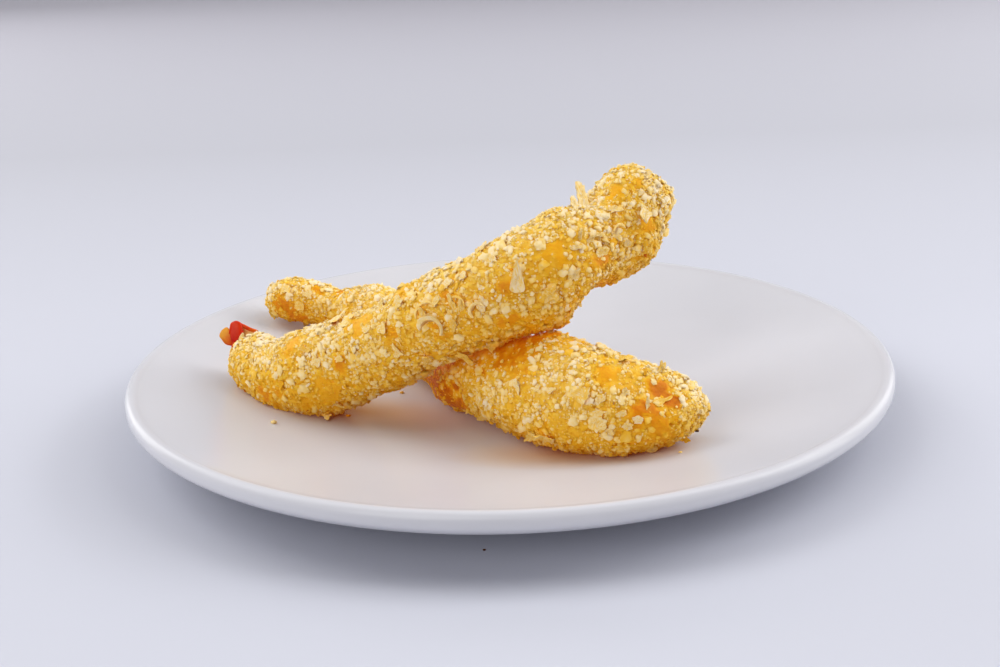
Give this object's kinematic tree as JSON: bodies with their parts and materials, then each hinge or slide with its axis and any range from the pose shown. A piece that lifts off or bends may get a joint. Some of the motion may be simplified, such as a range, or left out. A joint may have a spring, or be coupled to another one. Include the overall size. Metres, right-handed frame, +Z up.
{
  "type": "shrimp tempura",
  "caption": "Crumbed, fried shrimp laid across each other on a round white coupe plate, the upper one leaning up with its red tail showing.",
  "frame": {"origin": "under the plate's centre, on the surface that its foot ring stands on", "axes": "+Z up; +X to the right and +Y away from the viewer as pictured; the upper shrimp's head is at +X and both tails are at -X"},
  "size_m": [0.2, 0.2, 0.0707],
  "materials": {
    "white_glaze": "smooth white gloss glaze",
    "fried_crumb": "golden crisp crumb coat, rough, with pale flakes",
    "red_tail_shell": "thin cooked tail shell, orange red, slightly see-through at its edge"
  },
  "bodies": {
    "root": {"plate": "white_glaze", "lower_shrimp": "fried_crumb", "upper_shrimp": "fried_crumb", "upper_tail": "red_tail_shell"}
  },
  "joints": []
}
